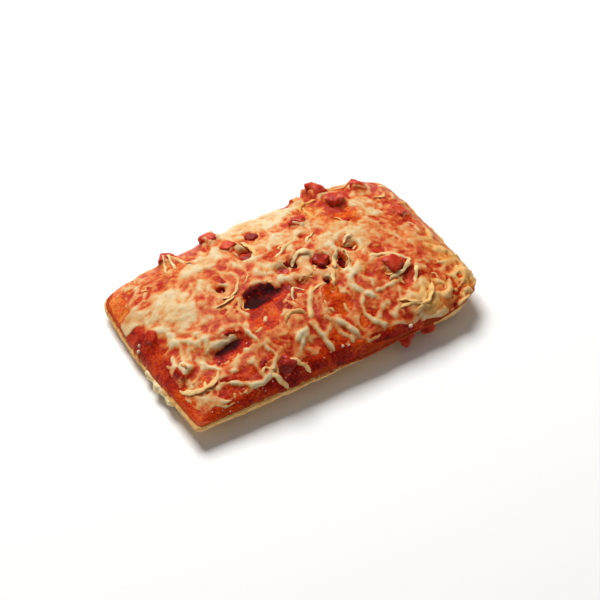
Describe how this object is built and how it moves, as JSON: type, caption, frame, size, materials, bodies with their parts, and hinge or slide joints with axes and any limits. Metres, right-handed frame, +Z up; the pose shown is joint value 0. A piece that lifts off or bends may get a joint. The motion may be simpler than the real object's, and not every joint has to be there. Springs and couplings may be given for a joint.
{
  "type": "pizza slice",
  "caption": "Rectangular slice of bakery pizza on a domed, risen base, with tomato sauce, melted grated cheese and small cubes of cooked ham.",
  "frame": {"origin": "on the table, under the middle of the slice's outline", "axes": "+X along the slice's length, towards its rounder end; +Y across the slice, towards its taller far shoulder; +Z up, through the thickness"},
  "size_m": [0.16, 0.1036, 0.0345],
  "materials": {
    "bread": "baked crust, golden and matt",
    "sauce": "wet and glossy",
    "cheese": "melted, oily sheen",
    "ham": "cooked, moist sheen"
  },
  "bodies": {
    "root": {"bread": "bread", "tomato_sauce": "sauce", "melted_cheese": "cheese", "ham_cube_01": "ham", "ham_cube_02": "ham", "ham_cube_03": "ham", "ham_cube_04": "ham", "ham_cube_05": "ham", "ham_cube_06": "ham", "ham_cube_07": "ham", "ham_cube_08": "ham", "ham_cube_09": "ham", "ham_cube_10": "ham", "ham_cube_11": "ham", "ham_cube_12": "ham", "ham_cube_13": "ham", "ham_cube_14": "ham", "ham_cube_15": "ham", "ham_cube_16": "ham", "ham_cube_17": "ham", "ham_cube_18": "ham", "ham_cube_19": "ham", "ham_cube_20": "ham", "ham_cube_21": "ham", "ham_cube_22": "ham", "ham_cube_23": "ham", "ham_cube_24": "ham", "ham_cube_25": "ham", "ham_cube_26": "ham"}
  },
  "joints": []
}
